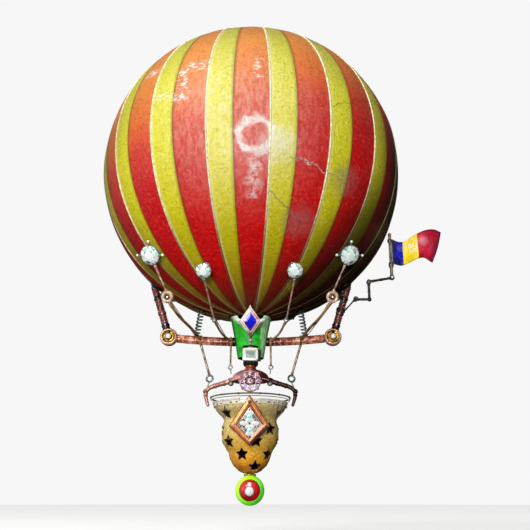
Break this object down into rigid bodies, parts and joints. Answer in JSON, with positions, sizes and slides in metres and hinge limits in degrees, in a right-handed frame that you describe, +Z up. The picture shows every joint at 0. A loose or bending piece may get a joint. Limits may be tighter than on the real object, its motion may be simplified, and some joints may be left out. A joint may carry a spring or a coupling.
{
  "type": "hot air balloon",
  "caption": "Hot air balloon: round striped envelope, jewelled stays, arched frame, star-pierced gondola with a kite hatch, lamp and a flag on a jointed arm.",
  "frame": {"origin": "centre of the round envelope, where the air holds it", "axes": "+Z up, the jewelled front faces -Y, +X towards the flag"},
  "size_m": [13.7122, 11.9811, 19.145],
  "materials": {
    "envelope_skin": "painted red and yellow gores, worn",
    "gilt": "polished, worn",
    "rose_gilt": "polished",
    "brass_wire": "satin",
    "bronze": "dark, satin",
    "copper": "aged copper",
    "silver": "polished",
    "lilac_silver": "polished filigree",
    "dark_steel": "dark, oiled",
    "clear_gem": "faceted, glossy",
    "white_gem": "glossy",
    "blue_gem": "faceted, glossy",
    "green_enamel": "glossy enamel",
    "dark_enamel": "glossy enamel",
    "lime_enamel": "glowing enamel",
    "red_enamel": "glossy enamel",
    "golden_plate": "tan to ochre, satin",
    "deck_wood": "planed",
    "orange_wood": "varnished",
    "flag_cloth": "glossy blue, yellow and crimson bands"
  },
  "bodies": {
    "balloon": {"envelope": "envelope_skin", "crown_cap": "gilt", "mouth_ring": "gilt", "stud_large_front_left": "clear_gem", "stud_large_front_right": "clear_gem", "stud_large_rear_left": "clear_gem", "stud_large_rear_right": "clear_gem", "stud_small_front_left": "clear_gem", "stud_small_front_right": "clear_gem", "stud_small_rear_left": "clear_gem", "stud_small_rear_right": "clear_gem", "outer_stay_front_left": "brass_wire", "outer_stay_front_right": "brass_wire", "outer_stay_rear_left": "brass_wire", "outer_stay_rear_right": "brass_wire", "inner_stay_front_left": "brass_wire", "inner_stay_front_right": "brass_wire", "inner_stay_rear_left": "brass_wire", "inner_stay_rear_right": "brass_wire", "outer_hanger_left": "brass_wire", "outer_hanger_right": "brass_wire", "inner_hanger_left": "brass_wire", "inner_hanger_right": "brass_wire", "side_arm_left": "copper", "side_arm_right": "copper", "corner_joint_left": "gilt", "corner_joint_right": "gilt", "corner_pearl_left": "white_gem", "corner_pearl_right": "white_gem", "cross_bar_left": "copper", "cross_bar_right": "copper", "spring_left": "dark_steel", "spring_right": "dark_steel", "funnel": "green_enamel", "brooch": "rose_gilt", "brooch_gem": "blue_gem", "link_beads": "silver", "burner_block": "clear_gem", "burner_collar": "dark_enamel", "neck": "copper", "yoke": "copper", "rosette_pin": "rose_gilt", "top_hoop": "bronze", "rail_band": "silver", "gondola_shell": "golden_plate", "gondola_floor": "deck_wood", "hatch_pin": "dark_steel", "lamp_collar": "gilt", "lamp_globe": "lime_enamel", "lamp_core": "red_enamel", "lamp_gem_front": "white_gem", "lamp_gem_rear": "white_gem", "flag_bracket": "dark_steel"},
    "rosette": {"rosette": "lilac_silver"},
    "hatch": {"hatch_frame": "orange_wood", "hatch_infill": "white_gem"},
    "lower_crank": {"lower_crank": "dark_steel"},
    "flag_mast": {"flag_pole": "dark_steel"},
    "flag": {"flag": "flag_cloth"}
  },
  "joints": [
    {"name": "rosette_spin", "type": "hinge", "parent": "balloon", "child": "rosette", "pos_m": [0, -0.8, -8.576], "axis": [0, -1, 0], "continuous": true},
    {"name": "hatch_swing", "type": "hinge", "parent": "balloon", "child": "hatch", "pos_m": [0, -1.47124, -9.41627], "axis": [0, -0.9849, -0.1731], "range_deg": [-30, 30]},
    {"name": "lower_crank_swing", "type": "hinge", "parent": "balloon", "child": "lower_crank", "pos_m": [4.13, 0, -5.22], "axis": [0, 1, 0], "range_deg": [0, 20]},
    {"name": "mast_swing", "type": "hinge", "parent": "lower_crank", "child": "flag_mast", "pos_m": [4.68, 0, -4.52], "axis": [0, 1, 0], "range_deg": [0, 20]},
    {"name": "flag_turn", "type": "hinge", "parent": "flag_mast", "child": "flag", "pos_m": [5.6, -0.055, -3.3], "axis": [0, 0, 1], "range_deg": [-90, 90]}
  ]
}
